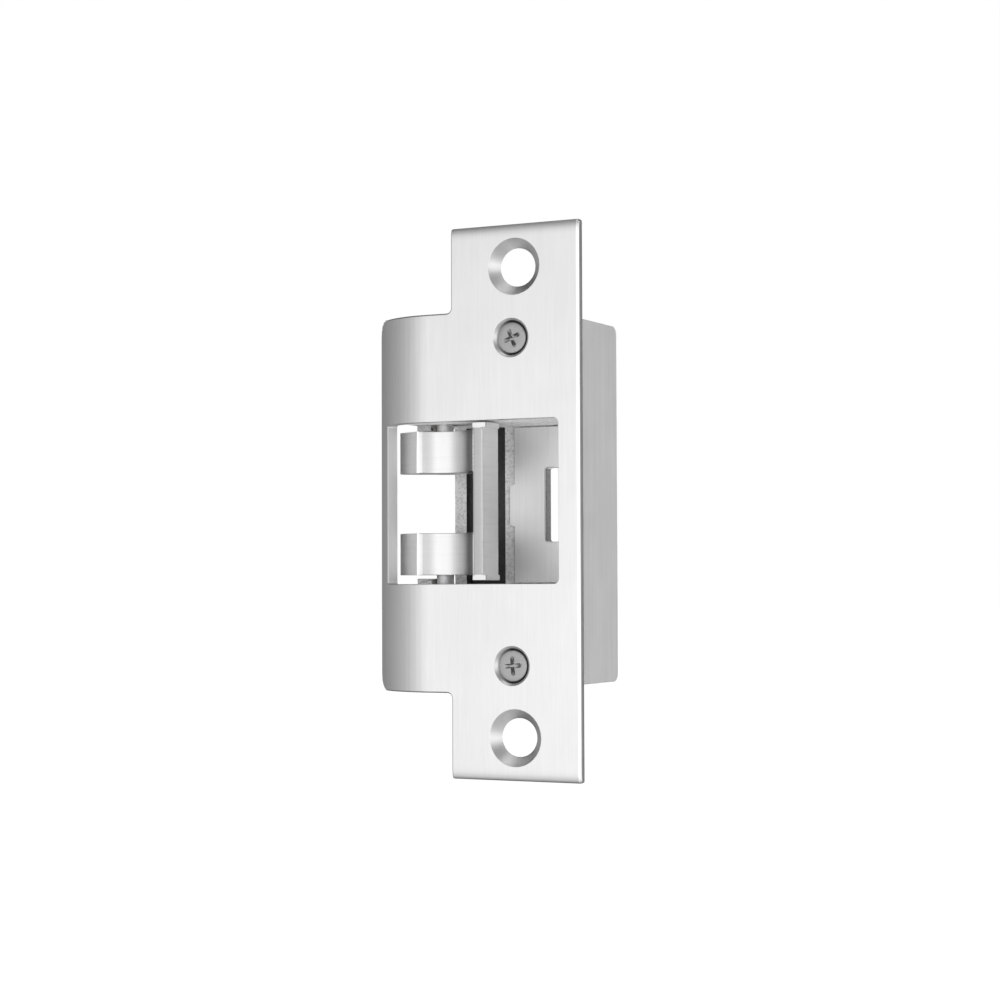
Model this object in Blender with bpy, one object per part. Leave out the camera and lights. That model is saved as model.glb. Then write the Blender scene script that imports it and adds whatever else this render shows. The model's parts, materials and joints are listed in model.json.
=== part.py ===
"""Electric door strike: strike plate with a curved lip, case, swinging keeper and locking solenoid.

Sizes are millimetres, and the helpers turn them into Blender's metres. X runs across the plate (the
lip is at -X), Y runs into the jamb, Z is up. The origin is the centre of the plate's front face.
"""

import math

import bmesh
import bpy
from mathutils import Matrix, Vector

MM = 0.001

# Strike plate
PLATE_HALF_WIDTH = 15.875
PLATE_HALF_HEIGHT = 61.9125
PLATE_THICK = 2.4
FIXING_HOLE_Z = 52.4
FIXING_HOLE_RADIUS = 4.25
FIXING_SINK_RADIUS = 6.35
LIP_HALF_HEIGHT = 42.8
LIP_FILLET = 1.2
LIP_CORNER = 7.5
BEND_X = -22.1
BEND_RADIUS = 20.0
LIP_ANGLE = math.radians(62)
WINDOW_HALF_HEIGHT = 18.3
WINDOW_RIGHT = 10.75
WINDOW_ANGLE = math.radians(39)
WINDOW_CORNER = 1.2
WINDOW_LEFT_CORNER = 0.5

# Fits
GAP = 0.3
RUNNING = 0.08
OVERLAP = 0.5

# Case
CASE_LEFT = -30.5
CASE_RIGHT = 13.3
CASE_FRONT = PLATE_THICK + GAP
CASE_BACK = 26.6
CASE_HALF_HEIGHT = 40.7
CASE_BACK_CORNER = 2.0
CASE_WALL = 1.8
FRONT_WALL = 1.5
POCKET_HALF_HEIGHT = 18.4
POCKET_BACK = 24.1
POCKET_LEFT = -27.5
DIVIDER = 2.0
RELIEF_LEFT = -24.4
RELIEF_RIGHT = -14.3
RELIEF_DEPTH = 1.6
COVER_THICK = 1.2
COVER_LEDGE = 1.0
COVER_CORNER = 0.6
RIB_HALF_HEIGHT = 17.05
RIB_RIGHT = -26.0
RIB_FRONT = 10.9
RIB_BACK = 16.6

# Liner on the pocket's back wall, with the slot that goes on through the case
LINER_LEFT = -11.4
LINER_TAB_LEFT = -12.6
LINER_TAB_HALF_HEIGHT = 4.85
LINER_TAB_CORNER = 0.5
LINER_FRONT = 22.9
LINER_THICK = 0.9
SLOT_LEFT = -3.5
SLOT_RIGHT = 2.0
SLOT_HALF_HEIGHT = 8.6
SLOT_CORNER = 0.7

# Screws
CASE_SCREW_X = -0.8
CASE_SCREW_Z = 36.5
CASE_SCREW_SINK = 4.4
CASE_SCREW_HEAD = 3.65
CASE_SCREW_SHANK = 1.9
CASE_SCREW_RECESS = 0.5
CASE_SCREW_LENGTH = 10.0
CASE_BOSS_RADIUS = 4.0
CASE_BOSS_BACK = 12.7
COVER_SCREWS = {"left": (-26.2, 36.2, 2.8), "right": (8.8, 21.7, 2.2)}
COVER_SCREW_HEAD = 2.1
COVER_SCREW_SHANK = 1.0
COVER_SCREW_LENGTH = 7.0
COVER_BOSS_LENGTH = 14.0

# Keeper and its pivot
PIVOT = (-23.7, 12.0)
SHAFT_RADIUS = 2.0
KEEPER_MIDDLE = 0.25
KEEPER_BAR_LEFT = -11.0
KEEPER_BAR_RIGHT = -8.4
KEEPER_BAR_ROUNDING = 0.7
KEEPER_FRONT = 0.8
KEEPER_BAR_BACK = 9.3
KEEPER_BAR_HALF_HEIGHT = 17.75
KEEPER_CAP_HEIGHT = 1.2
KEEPER_CAP_RIGHT = -7.5
KEEPER_CAP_BACK = 7.8
KEEPER_CAP_ROUNDING = 0.15
ARM_INNER = 6.9
ARM_OUTER = 16.5
ARM_BITE = 0.4
ARM_BACK_INSET = 0.6
TROUGH_CENTRE = (-20.83, 1.01)
TROUGH_RADIUS = 8.0
TROUGH_START = 38.0
CREST = (-27.5, 5.44)
ARM_TAIL = (-34.0, 9.1)
ARM_TAIL_BACK = (-33.5, 10.7)
HUB_RADIUS = 4.6
PIVOT_INNER_END = 8.6
PIVOT_PIN_BOTTOM = 31.6
BUSH_WALL = 1.2
BUSH_RECESS = 0.4
BUSH_FLANGE = 0.9
BUSH_FLANGE_THICK = 0.8
BUSH_STAND = 0.15
COLLAR_RADIUS = 3.6
COLLAR_LOW = -30.4
COLLAR_HIGH = -28.2
COLLAR_PEG = (4.4, -2.0)
COLLAR_EAR = 1.1
COLLAR_PEG_TOP = -25.8
PEG_RADIUS = 0.5
CLIP_RIM = 1.5
CLIP_THICK = 0.6

# Springs: radius, wire radius, lowest point, turns, starting angle, hand and the legs' lengths
KEEPER_SPRING = (3.0, 0.4, -26.6, 4, 270, -1, (5.0, 4.6))
LEVER_SPRING = (3.1, 0.3, 23.6, 4.25, 90, 1, (4.8, 7.3))

# Lock: a cam on the keeper's shaft, and a lever that the solenoid turns in front of it
LOCK_Z = 29.6
LOCK_THICK = 2.5
CAM_HUB = 4.2
CAM_NOSE = 7.6
CAM_NOSE_HALF_ANGLE = math.radians(9)
CAM_COLLAR = 3.4
SHAFT_OVER_CAM = 2.4
LEVER_PIVOT = (-12.5, 13.5)
LEVER_PIN_RADIUS = 1.5
LEVER_HUB = 2.6
LEVER_ARM = 5.4
LEVER_END = 2.3
LEVER_HOOK = [(-1.5, -6.1), (-3.8, -6.1), (-3.8, -8.0), (-3.4, -8.4), (0.7, -8.4), (1.5, -7.6)]
LEVER_PEG = (-2.2, -6.8)
LEVER_PEG_LENGTH = 2.2
LEVER_SPRING_POST = (4.0, 2.1)
LEVER_SPRING_POST_HEIGHT = 4.4
LEVER_BOSS = 2.4
LEVER_PIN_STANDOUT = 2.0
LINK_PIN_RADIUS = 1.0
LINK_PIN_HALF_LENGTH = 3.4

# Solenoid, along X
SOLENOID_Y = LEVER_PIVOT[1] + LEVER_ARM
SOLENOID_LEFT = -7.0
SOLENOID_RIGHT = 11.0
FRAME_THICK = 1.6
FRAME_HALF_DEPTH = 5.6
FRAME_TOP = 37.2
FRAME_BOTTOM = 24.2
PLUNGER_RADIUS = 3.0
PLUNGER_STROKE = 2.5
PLUNGER_NOSE = 3.2
PLUNGER_SEAT = 4.6
CORE_STEM = 1.5
CORE_STANDOUT = 0.2
BOBBIN_WALL = 0.8
BOBBIN_TUBE = 0.55
BOBBIN_FLANGE = 5.5
BOBBIN_GAP = 0.15
COIL_INSET = 0.35
SOLENOID_SCREWS = {"left": -3.0, "right": 7.0}
SOLENOID_SCREW_HEAD = 2.5
SOLENOID_SCREW_SHANK = 1.2
SOLENOID_SCREW_LENGTH = 5.0
SOLENOID_PAD = 3.2

# Supply socket in the case's top wall
SOCKET_LOW = (4.6, 5.2, 31.0)
SOCKET_HIGH = (11.0, 12.0, 40.5)
SOCKET_WALL = 0.9
SOCKET_DEPTH = 6.5
CONTACTS = {"a": 6.4, "b": 9.2}
CONTACT_Y = 8.6
CONTACT_RADIUS = 0.5
CONTACT_RECESS = 1.5
CONTACT_STANDOUT = 0.8
LEAD_RADIUS = 0.45
# From a contact's lower end: steps in X and Z, with how far Y has gone towards the coil
LEAD_STEPS = [(0.0, 0.1, -1.4), (-0.5, 1.5, -3.0), (-1.2, 4.15, -2.2)]

ROUND = 32
SMALL_ROUND = 20
PEG_ROUND = 12
MERGE = 0.001


def clear_scene():
    for obj in list(bpy.data.objects):
        bpy.data.objects.remove(obj, do_unlink=True)


def material(name, colour, roughness, metallic=1.0):
    made = bpy.data.materials.new(name)
    made.use_nodes = True
    shader = made.node_tree.nodes["Principled BSDF"]
    shader.inputs["Base Color"].default_value = (*colour, 1.0)
    shader.inputs["Roughness"].default_value = roughness
    shader.inputs["Metallic"].default_value = metallic
    return made


def arc(centre, radius, start, end, steps):
    """Points on an arc, with the angles in degrees."""
    points = []
    for step in range(steps + 1):
        angle = math.radians(start + (end - start) * step / steps)
        points.append((centre[0] + radius * math.cos(angle), centre[1] + radius * math.sin(angle)))
    return points


def rounded_rectangle(low, high, radius, steps=4):
    corners = [
        ((high[0] - radius, high[1] - radius), 0),
        ((low[0] + radius, high[1] - radius), 90),
        ((low[0] + radius, low[1] + radius), 180),
        ((high[0] - radius, low[1] + radius), 270),
    ]
    points = []
    for centre, start in corners:
        points += arc(centre, radius, start, start + 90, steps)
    return points


def finish_mesh(name, bm, surface):
    """Makes the object of a bmesh drawn in millimetres, with its round faces shaded smooth."""
    bmesh.ops.remove_doubles(bm, verts=bm.verts, dist=MERGE)
    bmesh.ops.recalc_face_normals(bm, faces=bm.faces)
    bmesh.ops.scale(bm, verts=bm.verts, vec=Vector((MM, MM, MM)))
    mesh = bpy.data.meshes.new(name)
    bm.to_mesh(mesh)
    bm.free()
    mesh.shade_smooth()
    mesh.set_sharp_from_angle(angle=math.radians(30))
    obj = bpy.data.objects.new(name, mesh)
    bpy.context.scene.collection.objects.link(obj)
    if surface:
        mesh.materials.append(surface)
    return obj


def prism(name, outline, start, end, axis="Z", surface=None):
    """Extrudes an outline along an axis: (x, y) along Z, or (x, z) along Y."""
    bm = bmesh.new()
    for u, v in outline:
        bm.verts.new((u, v, start) if axis == "Z" else (u, start, v))
    face = bm.faces.new(bm.verts)
    grown = bmesh.ops.extrude_face_region(bm, geom=[face])
    top = [item for item in grown["geom"] if isinstance(item, bmesh.types.BMVert)]
    step = Vector((0, 0, end - start)) if axis == "Z" else Vector((0, end - start, 0))
    bmesh.ops.translate(bm, verts=top, vec=step)
    return finish_mesh(name, bm, surface)


def box(name, low, high, surface=None):
    outline = [(low[0], low[1]), (high[0], low[1]), (high[0], high[1]), (low[0], high[1])]
    return prism(name, outline, low[2], high[2], "Z", surface)


def turned(name, profile, centre, axis="Z", surface=None, steps=ROUND, ring=False):
    """Spins a profile of (radius, distance along the axis) points about an axis through centre.

    A point on the axis closes a flat end, which becomes one face.
    """
    bm = bmesh.new()
    verts = [bm.verts.new((radius, 0, along)) for radius, along in profile]
    edges = [bm.edges.new(pair) for pair in zip(verts, verts[1:])]
    if ring:
        edges.append(bm.edges.new((verts[-1], verts[0])))
    bmesh.ops.spin(
        bm, geom=verts + edges, cent=(0, 0, 0), axis=(0, 0, 1), angle=math.tau, steps=steps, use_merge=True
    )
    bmesh.ops.remove_doubles(bm, verts=bm.verts, dist=MERGE)
    poles = [vert for vert in bm.verts if vert.co.xy.length < MERGE]
    bmesh.ops.dissolve_verts(bm, verts=poles)
    turns = {
        "X": Matrix.Rotation(math.radians(90), 4, "Y"),
        "Y": Matrix.Rotation(math.radians(-90), 4, "X"),
        "Z": Matrix.Identity(4),
    }
    bmesh.ops.transform(bm, matrix=Matrix.Translation(centre) @ turns[axis], verts=bm.verts)
    return finish_mesh(name, bm, surface)


def rod(name, centre, radius, start, end, axis="Z", surface=None, steps=ROUND):
    return turned(name, [(0, start), (radius, start), (radius, end), (0, end)], centre, axis, surface, steps)


def shape(obj, tool, operation):
    """Cuts a hidden tool from an object, or joins it on."""
    tool.hide_render = True
    tool.display_type = "WIRE"
    modifier = obj.modifiers.new(f"{operation.lower()}_{tool.name}", "BOOLEAN")
    modifier.operation = operation
    modifier.object = tool


def cut(obj, tool):
    shape(obj, tool, "DIFFERENCE")


def join(obj, tool):
    shape(obj, tool, "UNION")


def set_origin(obj, point):
    """Moves the object's origin to a point, and leaves its shape where it is."""
    offset = Vector(point) * MM
    obj.data.transform(Matrix.Translation(-offset))
    obj.location = offset


def apply_modifiers(obj):
    graph = bpy.context.evaluated_depsgraph_get()
    made = bpy.data.meshes.new_from_object(obj.evaluated_get(graph))
    obj.modifiers.clear()
    old = obj.data
    obj.data = made
    made.name = obj.name
    bpy.data.meshes.remove(old)


def settle(obj):
    """Makes an object's Booleans final, and shades its round faces smooth again."""
    apply_modifiers(obj)
    obj.data.shade_smooth()
    obj.data.set_sharp_from_angle(angle=math.radians(30))


def tube(name, points, radius, surface, sides=1):
    """A round wire along points, as a curve with filled caps."""
    curve = bpy.data.curves.new(name, "CURVE")
    curve.dimensions = "3D"
    curve.bevel_depth = radius * MM
    curve.bevel_resolution = sides
    curve.use_fill_caps = True
    spline = curve.splines.new("POLY")
    spline.points.add(len(points) - 1)
    for slot, point in zip(spline.points, points):
        slot.co = (point[0] * MM, point[1] * MM, point[2] * MM, 1)
    curve.materials.append(surface)
    obj = bpy.data.objects.new(name, curve)
    bpy.context.scene.collection.objects.link(obj)
    return obj


def smooth_route(points, steps):
    """A Catmull-Rom curve through points, with the first and last tangents along their own runs."""
    knots = [Vector(point) for point in points]
    knots = [2 * knots[0] - knots[1], *knots, 2 * knots[-1] - knots[-2]]
    route = []
    for a, b, c, d in zip(knots, knots[1:], knots[2:], knots[3:]):
        for step in range(steps):
            t = step / steps
            square = (2 * a - 5 * b + 4 * c - d) * t**2
            cube = (3 * b - a - 3 * c + d) * t**3
            route.append(0.5 * (2 * b + (c - a) * t + square + cube))
    return [*route, knots[-2]]


def torsion_spring(name, centre, radius, wire, low, turns, start, hand, legs, surface):
    """A coil about a vertical axis, with a straight leg at each end.

    start is the angle of its lowest point in degrees, hand +1 winds it anticlockwise going up, and legs
    are the lengths of the lower and the upper leg.
    """
    pitch = wire * 2 + 0.15
    sweep = hand * turns * math.tau
    steps = int(turns * 16)
    coil = []
    for step in range(steps + 1):
        angle = math.radians(start) + sweep * step / steps
        height = low + pitch * turns * step / steps
        coil.append((centre[0] + radius * math.cos(angle), centre[1] + radius * math.sin(angle), height))
    first = math.radians(start)
    last = first + sweep
    lower = Vector(coil[0]) + hand * legs[0] * Vector((math.sin(first), -math.cos(first), 0))
    upper = Vector(coil[-1]) + hand * legs[1] * Vector((-math.sin(last), math.cos(last), 0))
    return tube(name, [lower, *coil, upper], wire, surface)


def clip(name, centre, bore, low, surface):
    """A C-shaped retaining ring, open towards +X."""
    outline = arc(centre, bore + CLIP_RIM, 35, 325, 18) + arc(centre, bore, 315, 45, 14)
    return prism(name, outline, low, low + CLIP_THICK, "Z", surface)


def cross_recess(name, centre, arm, width, start, end, axis):
    half = width / 2
    plus = [
        (half, half),
        (half, arm),
        (-half, arm),
        (-half, half),
        (-arm, half),
        (-arm, -half),
        (-half, -half),
        (-half, -arm),
        (half, -arm),
        (half, -half),
        (arm, -half),
        (arm, half),
    ]
    outline = [(centre[0] + u, centre[1] + v) for u, v in plus]
    return prism(name, outline, start, end, axis)


def sunk_screw(name, place, inward, axis, head, shank, length, surface):
    """A countersunk cross-head screw. place is the middle of its head's face, inward +1 or -1 along axis."""
    along = {"Y": 1, "Z": 2}[axis]
    face = place[along]
    centre = list(place)
    centre[along] = 0
    rim = 0.05
    profile = [
        (0, face),
        (head, face),
        (head, face + inward * rim),
        (shank, face + inward * (rim + head - shank)),
        (shank, face + inward * length),
        (0, face + inward * length),
    ]
    screw = turned(name, profile, centre, axis, surface, SMALL_ROUND)
    middle = (place[0], place[2]) if axis == "Y" else (place[0], place[1])
    ends = sorted((face - inward * 0.5, face + inward * head * 0.4))
    cut(screw, cross_recess(f"{name}_recess", middle, head * 0.5, head * 0.24, *ends, axis))
    return screw


def case_outline(inset):
    """Plan outline of the case, whose front left corner follows the inside of the lip."""
    radius = BEND_RADIUS - PLATE_THICK - GAP - inset
    left = CASE_LEFT + inset
    start = math.degrees(math.asin((BEND_X - left) / radius))
    front = arc((BEND_X, BEND_RADIUS), radius, 270, 270 - start, 8)
    right = CASE_RIGHT - inset
    return [(right, CASE_BACK - inset), (right, front[0][1]), *front, (left, CASE_BACK - inset)]


def build_faceplate(surface):
    flat_end = BEND_X - BEND_RADIUS * LIP_ANGLE
    right_half = [
        (PLATE_HALF_WIDTH, -PLATE_HALF_HEIGHT),
        (PLATE_HALF_WIDTH, PLATE_HALF_HEIGHT),
        (-PLATE_HALF_WIDTH, PLATE_HALF_HEIGHT),
    ]
    fillet_x = -PLATE_HALF_WIDTH - LIP_FILLET
    fillet_z = LIP_HALF_HEIGHT + LIP_FILLET
    corner = (flat_end + LIP_CORNER, LIP_HALF_HEIGHT - LIP_CORNER)
    top_left = arc((fillet_x, fillet_z), LIP_FILLET, 0, -90, 5) + arc(corner, LIP_CORNER, 90, 180, 12)
    bottom_left = [(x, -z) for x, z in reversed(top_left)]
    outline = right_half + top_left + bottom_left + [(-PLATE_HALF_WIDTH, -PLATE_HALF_HEIGHT)]
    plate = prism("faceplate", outline, 0, PLATE_THICK, "Y", surface)

    window_left = BEND_X - BEND_RADIUS * WINDOW_ANGLE
    right = (WINDOW_RIGHT - WINDOW_CORNER, WINDOW_HALF_HEIGHT - WINDOW_CORNER)
    left = (window_left + WINDOW_LEFT_CORNER, WINDOW_HALF_HEIGHT - WINDOW_LEFT_CORNER)
    upper = arc(right, WINDOW_CORNER, 0, 90, 4) + arc(left, WINDOW_LEFT_CORNER, 90, 180, 2)
    window = upper + [(x, -z) for x, z in reversed(upper)]
    cut(plate, prism("window_cutter", window, -1, PLATE_THICK + 1, "Y"))

    for side in (1, -1):
        sink = (FIXING_SINK_RADIUS - FIXING_HOLE_RADIUS) / PLATE_THICK
        profile = [
            (0, -1),
            (FIXING_SINK_RADIUS + sink, -1),
            (FIXING_HOLE_RADIUS - sink, PLATE_THICK + 1),
            (0, PLATE_THICK + 1),
        ]
        cut(plate, turned(f"fixing_sink_{side}", profile, (0, 0, side * FIXING_HOLE_Z), "Y"))
        hole = CASE_SCREW_SHANK + 0.2
        profile = [
            (0, -1),
            (CASE_SCREW_SINK + 1, -1),
            (hole, CASE_SCREW_SINK - hole),
            (hole, PLATE_THICK + 1),
            (0, PLATE_THICK + 1),
        ]
        centre = (CASE_SCREW_X, 0, side * CASE_SCREW_Z)
        cut(plate, turned(f"screw_sink_{side}", profile, centre, "Y"))

    apply_modifiers(plate)
    bend_lip(plate)
    return plate


def bend_lip(plate):
    """Slices the flat lip across and rolls it back about its bend axis."""
    bm = bmesh.new()
    bm.from_mesh(plate.data)
    slices = 14
    for step in range(slices):
        x = (BEND_X - BEND_RADIUS * LIP_ANGLE * step / slices) * MM
        geometry = list(bm.verts) + list(bm.edges) + list(bm.faces)
        bmesh.ops.bisect_plane(bm, geom=geometry, dist=1e-7, plane_co=(x, 0, 0), plane_no=(1, 0, 0))
    axis = Vector((BEND_X, BEND_RADIUS)) * MM
    for vert in bm.verts:
        run = axis.x - vert.co.x
        if run <= 0:
            continue
        angle = run / axis.y
        reach = axis.y - vert.co.y
        vert.co.x = axis.x - reach * math.sin(angle)
        vert.co.y = axis.y - reach * math.cos(angle)
    bmesh.ops.triangulate(bm, faces=[face for face in bm.faces if len(face.verts) > 4])
    bm.to_mesh(plate.data)
    bm.free()
    plate.data.shade_smooth()
    plate.data.set_sharp_from_angle(angle=math.radians(30))


def build_case(surface):
    half = CASE_HALF_HEIGHT
    case = prism("case", case_outline(0), -half, half, "Z", surface)
    for side in (1, -1):
        corner = CASE_BACK_CORNER
        centre = (CASE_BACK - corner, side * (half - corner))
        bm = bmesh.new()
        outline = [(CASE_BACK + 1, side * (half + 1)), (centre[0], side * (half + 1))]
        outline += arc(centre, corner, side * 90, 0, 6)
        for y, z in outline + [(CASE_BACK + 1, centre[1])]:
            bm.verts.new((CASE_LEFT - 1, y, z))
        face = bm.faces.new(bm.verts)
        grown = bmesh.ops.extrude_face_region(bm, geom=[face])
        top = [item for item in grown["geom"] if isinstance(item, bmesh.types.BMVert)]
        bmesh.ops.translate(bm, verts=top, vec=Vector((CASE_RIGHT - CASE_LEFT + 2, 0, 0)))
        cut(case, finish_mesh(f"back_corner_cutter_{side}", bm, None))

    inner_right = CASE_RIGHT - CASE_WALL
    low = (CASE_LEFT - 1, 0, -POCKET_HALF_HEIGHT)
    cut(case, box("pocket_cutter", low, (inner_right, POCKET_BACK, POCKET_HALF_HEIGHT)))
    high = (POCKET_LEFT, CASE_BACK + 1, POCKET_HALF_HEIGHT)
    cut(case, box("pocket_side_cutter", (CASE_LEFT - 1, POCKET_BACK - 1, -POCKET_HALF_HEIGHT), high))
    low = (RELIEF_LEFT, POCKET_BACK - 1, -POCKET_HALF_HEIGHT)
    cut(case, box("relief_cutter", low, (RELIEF_RIGHT, POCKET_BACK + RELIEF_DEPTH, POCKET_HALF_HEIGHT)))
    cut(case, slot_cutter("case_slot_cutter", POCKET_BACK - 1, CASE_BACK + 1))

    for side, word in ((1, "upper"), (-1, "lower")):
        build_compartment(case, side, word)
    build_lock_seats(case)
    return case


def slot_cutter(name, start, end):
    low = (SLOT_LEFT, -SLOT_HALF_HEIGHT)
    return prism(name, rounded_rectangle(low, (SLOT_RIGHT, SLOT_HALF_HEIGHT), SLOT_CORNER), start, end, "Y")


def build_compartment(case, side, word):
    """One closed end of the case: its hollow, cover ledge, bosses, keeper bore and stop rib."""
    floor = POCKET_HALF_HEIGHT + DIVIDER
    roof = CASE_HALF_HEIGHT - DIVIDER
    hollow = case_outline(CASE_WALL)
    front = CASE_FRONT + FRONT_WALL
    back = CASE_BACK + 1
    shifted = [(x, back if y > CASE_BACK - CASE_WALL - 1 else max(y, front)) for x, y in hollow]
    ends = sorted((side * floor, side * roof))
    cut(case, prism(f"{word}_hollow_cutter", shifted, *ends, "Z"))

    ledge = COVER_LEDGE
    low = (CASE_LEFT + CASE_WALL - ledge, CASE_BACK - COVER_THICK - GAP, floor - ledge)
    high = (CASE_RIGHT - CASE_WALL + ledge, back, roof + ledge)
    z_ends = sorted((side * low[2], side * high[2]))
    cut(case, box(f"{word}_ledge_cutter", (low[0], low[1], z_ends[0]), (high[0], high[1], z_ends[1])))

    centre = (CASE_SCREW_X, 0, side * CASE_SCREW_Z)
    join(case, rod(f"{word}_plate_boss", centre, CASE_BOSS_RADIUS, CASE_FRONT + 0.5, CASE_BOSS_BACK, "Y"))
    cut(case, rod(f"{word}_plate_screw_hole", centre, CASE_SCREW_SHANK + 0.2, 0, CASE_BOSS_BACK + 1, "Y"))
    for hand, (x, z, radius) in COVER_SCREWS.items():
        centre = (x, 0, side * z)
        boss_back = CASE_BACK - COVER_THICK - GAP
        boss_front = boss_back - COVER_BOSS_LENGTH
        ends = (boss_front, boss_back)
        join(case, rod(f"{word}_cover_boss_{hand}", centre, radius, *ends, "Y", steps=SMALL_ROUND))
        hole = COVER_SCREW_SHANK + 0.15
        ends = (boss_back - COVER_SCREW_LENGTH - 1, back)
        cut(case, rod(f"{word}_cover_hole_{hand}", centre, hole, *ends, "Y", steps=SMALL_ROUND))

    rib_ends = sorted((side * RIB_HALF_HEIGHT, side * (POCKET_HALF_HEIGHT + 1)))
    low = (CASE_LEFT, RIB_FRONT, rib_ends[0])
    join(case, box(f"{word}_stop_rib", low, (RIB_RIGHT, RIB_BACK, rib_ends[1])))
    bore_ends = sorted((side * (POCKET_HALF_HEIGHT - 1), side * (floor + 1)))
    cut(case, rod(f"{word}_bush_bore", (*PIVOT, 0), SHAFT_RADIUS + BUSH_WALL, *bore_ends))


def build_lock_seats(case):
    """The lever pin's boss, the spring's post, the solenoid's pads and the socket's opening."""
    floor = POCKET_HALF_HEIGHT + DIVIDER
    roof = CASE_HALF_HEIGHT - DIVIDER
    centre = (*LEVER_PIVOT, 0)
    boss_top = LOCK_Z - LOCK_THICK / 2 - GAP
    join(case, rod("lever_boss", centre, LEVER_BOSS, floor - OVERLAP, boss_top))
    cut(case, rod("lever_pin_hole", centre, LEVER_PIN_RADIUS + RUNNING, floor, boss_top + 1))
    post = (LEVER_PIVOT[0] + LEVER_SPRING_POST[0], LEVER_PIVOT[1] + LEVER_SPRING_POST[1], 0)
    post_top = floor + LEVER_SPRING_POST_HEIGHT
    join(case, rod("lever_spring_post", post, PEG_RADIUS + 0.1, floor - OVERLAP, post_top, steps=PEG_ROUND))
    hole = SOLENOID_SCREW_SHANK + 0.4
    sink = SOLENOID_SCREW_HEAD + 0.5
    for hand, x in SOLENOID_SCREWS.items():
        centre = (x, SOLENOID_Y, 0)
        join(case, rod(f"solenoid_pad_{hand}", centre, SOLENOID_PAD, FRAME_TOP + GAP, roof + OVERLAP))
        top = CASE_HALF_HEIGHT
        neck = (hole, top - sink + hole)
        profile = [(0, FRAME_TOP - 1), (hole, FRAME_TOP - 1), neck, (sink + 1, top + 1), (0, top + 1)]
        cut(case, turned(f"solenoid_screw_hole_{hand}", profile, centre, "Z", None, SMALL_ROUND))
    low = (SOCKET_LOW[0] - GAP, SOCKET_LOW[1] - GAP, roof - OVERLAP)
    high = (SOCKET_HIGH[0] + GAP, SOCKET_HIGH[1] + GAP, CASE_HALF_HEIGHT + 1)
    cut(case, box("socket_opening", low, high))


def build_liner(surface):
    half = POCKET_HALF_HEIGHT - GAP
    tab = LINER_TAB_HALF_HEIGHT
    right = CASE_RIGHT - CASE_WALL - GAP
    corner = LINER_TAB_CORNER
    edge = arc((LINER_LEFT - corner, tab + corner), corner, 0, -90, 3)
    edge += arc((LINER_TAB_LEFT + corner, tab - corner), corner, 90, 180, 3)
    outline = [(right, -half), (right, half), (LINER_LEFT, half), *edge]
    outline += [(x, -z) for x, z in reversed(edge)] + [(LINER_LEFT, -half)]
    liner = prism("pocket_liner", outline, LINER_FRONT, LINER_FRONT + LINER_THICK, "Y", surface)
    cut(liner, slot_cutter("liner_slot_cutter", LINER_FRONT - 1, LINER_FRONT + LINER_THICK + 1))


def build_covers(surface, screw_surface):
    for side, word in ((1, "upper"), (-1, "lower")):
        inset = CASE_WALL - COVER_LEDGE + GAP
        low_z = POCKET_HALF_HEIGHT + DIVIDER - COVER_LEDGE + GAP
        high_z = CASE_HALF_HEIGHT - DIVIDER + COVER_LEDGE - GAP
        ends = sorted((side * low_z, side * high_z))
        low = (CASE_LEFT + inset, ends[0])
        high = (CASE_RIGHT - inset, ends[1])
        start = CASE_BACK - COVER_THICK
        outline = rounded_rectangle(low, high, COVER_CORNER, 2)
        cover = prism(f"{word}_rear_cover", outline, start, CASE_BACK, "Y", surface)
        for hand, (x, z, _) in COVER_SCREWS.items():
            hole = COVER_SCREW_SHANK + 0.2
            sink = COVER_SCREW_HEAD + 0.2
            profile = [
                (0, start - 1),
                (hole, start - 1),
                (hole, CASE_BACK - sink + hole),
                (sink + 1, CASE_BACK + 1),
                (0, CASE_BACK + 1),
            ]
            centre = (x, 0, side * z)
            cut(cover, turned(f"{word}_cover_sink_{hand}", profile, centre, "Y", None, SMALL_ROUND))
            place = (x, CASE_BACK - 0.05, side * z)
            sizes = (COVER_SCREW_HEAD, COVER_SCREW_SHANK, COVER_SCREW_LENGTH)
            sunk_screw(f"{word}_cover_screw_{hand}", place, -1, "Y", *sizes, screw_surface)


def build_faceplate_screws(surface):
    for side, word in ((1, "upper"), (-1, "lower")):
        place = (CASE_SCREW_X, CASE_SCREW_RECESS, side * CASE_SCREW_Z)
        sizes = (CASE_SCREW_HEAD, CASE_SCREW_SHANK, CASE_SCREW_LENGTH)
        sunk_screw(f"{word}_faceplate_screw", place, 1, "Y", *sizes, surface)


def arm_outline():
    """Plan outline of an arm: flank by the bar, hollowed front, crest, tail, hub and back."""
    end = math.degrees(math.atan2(CREST[1] - TROUGH_CENTRE[1], CREST[0] - TROUGH_CENTRE[0]))
    trough = arc(TROUGH_CENTRE, TROUGH_RADIUS, TROUGH_START, end, 16)
    inside = KEEPER_BAR_LEFT + ARM_BITE
    drop = (inside - trough[0][0]) / math.tan(math.radians(TROUGH_START))
    flank = (inside, trough[0][1] - drop)
    hub = arc(PIVOT, HUB_RADIUS, 150, 62, 8)
    inner = (KEEPER_BAR_RIGHT - ARM_BACK_INSET, KEEPER_BAR_BACK - ARM_BACK_INSET)
    return [flank, *trough, ARM_TAIL, ARM_TAIL_BACK, *hub, inner]


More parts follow.
